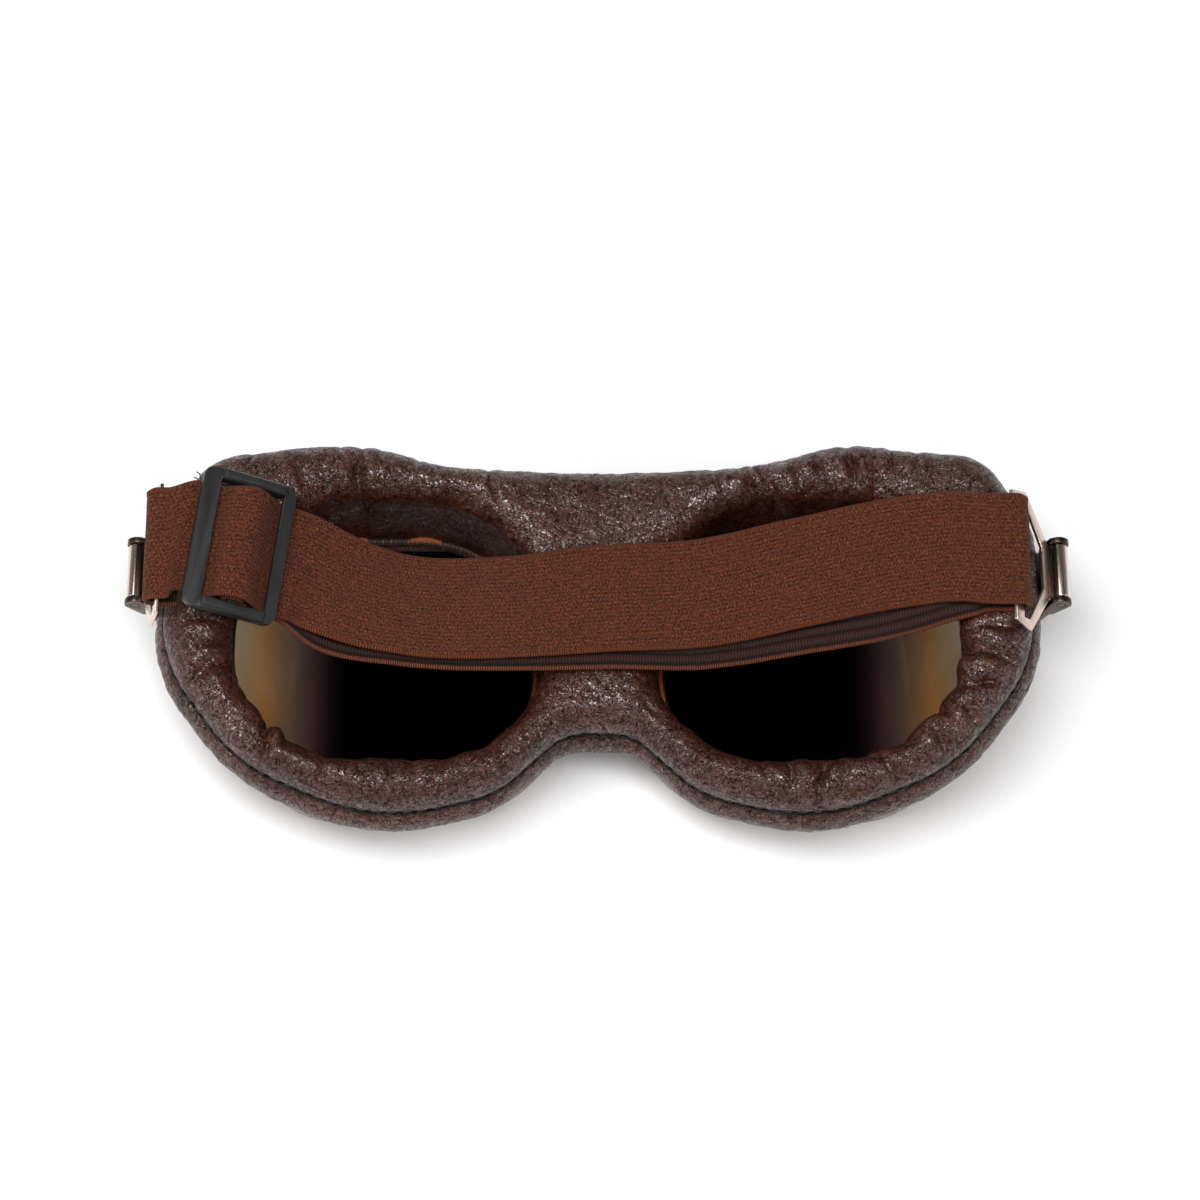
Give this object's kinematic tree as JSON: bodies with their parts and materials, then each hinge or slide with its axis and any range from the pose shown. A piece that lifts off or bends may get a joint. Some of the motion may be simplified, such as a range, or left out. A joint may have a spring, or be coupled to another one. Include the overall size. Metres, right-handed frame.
{
  "type": "aviator goggles",
  "caption": "Aviator flying goggles with a leather face pad, bent smoke lenses in metal rims, strap hooks on side lugs and an elastic strap with a slider.",
  "frame": {"origin": "middle of the footprint, on the table that the rims lie on", "axes": "+X to the wearer's right, +Y to the forehead, +Z from the lenses to the face"},
  "size_m": [0.1954, 0.0834, 0.0479],
  "materials": {
    "brown_leather": "pebbled dark brown leather",
    "welt_leather": "black sewn strip",
    "foam": "soft foam under leather",
    "binding_thread": "overlocked black thread",
    "felt": "orange-brown felt",
    "black_ring": "black retaining ring",
    "smoke_lens": "dark smoke, polished",
    "bronze_rim": "polished rose bronze",
    "dark_bronze": "darkened bronze",
    "polished_bronze": "polished, rose tinted",
    "slider_plastic": "satin black moulding",
    "strap_elastic": "ribbed brown elastic with orange-brown edges"
  },
  "bodies": {
    "goggles": {"face_pad_cover": "brown_leather", "side_skirt": "brown_leather", "foam_core": "foam", "seam_welt": "welt_leather", "left_edge_binding": "binding_thread", "right_edge_binding": "binding_thread", "left_felt_ring": "felt", "right_felt_ring": "felt", "left_pad_ring": "black_ring", "right_pad_ring": "black_ring", "left_lens": "smoke_lens", "right_lens": "smoke_lens", "left_rim": "bronze_rim", "right_rim": "bronze_rim", "nose_bridge": "bronze_rim", "left_side_lug": "dark_bronze", "right_side_lug": "dark_bronze", "left_hook_bar": "dark_bronze", "right_hook_bar": "dark_bronze", "strap_weave": "strap_elastic", "strap_hook_run": "strap_elastic", "strap_upper_layer": "strap_elastic", "strap_lower_layer": "strap_elastic"},
    "right_hook": {"right_strap_hook": "polished_bronze", "strap_right_fold": "strap_elastic"},
    "left_hook": {"left_strap_hook": "polished_bronze", "strap_left_fold": "strap_elastic"},
    "strap_slider": {"slider": "slider_plastic", "strap_sewn_loop": "strap_elastic"}
  },
  "joints": [
    {"name": "right_hook_hinge", "type": "hinge", "parent": "goggles", "child": "right_hook", "pos_m": [0.0955, 0.01055, 0.0315], "axis": [0, 1, 0], "range_deg": [0, 100], "deforming": ["strap_upper_layer", "strap_lower_layer"]},
    {"name": "left_hook_hinge", "type": "hinge", "parent": "goggles", "child": "left_hook", "pos_m": [-0.0955, 0.01055, 0.0315], "axis": [0, -1, 0], "range_deg": [0, 80], "deforming": ["strap_hook_run"]},
    {"name": "slider_travel", "type": "slide", "parent": "goggles", "child": "strap_slider", "axis": [1, 0, 0], "range_m": [0, 0.03], "deforming": ["strap_weave", "strap_lower_layer", "strap_upper_layer"]}
  ]
}
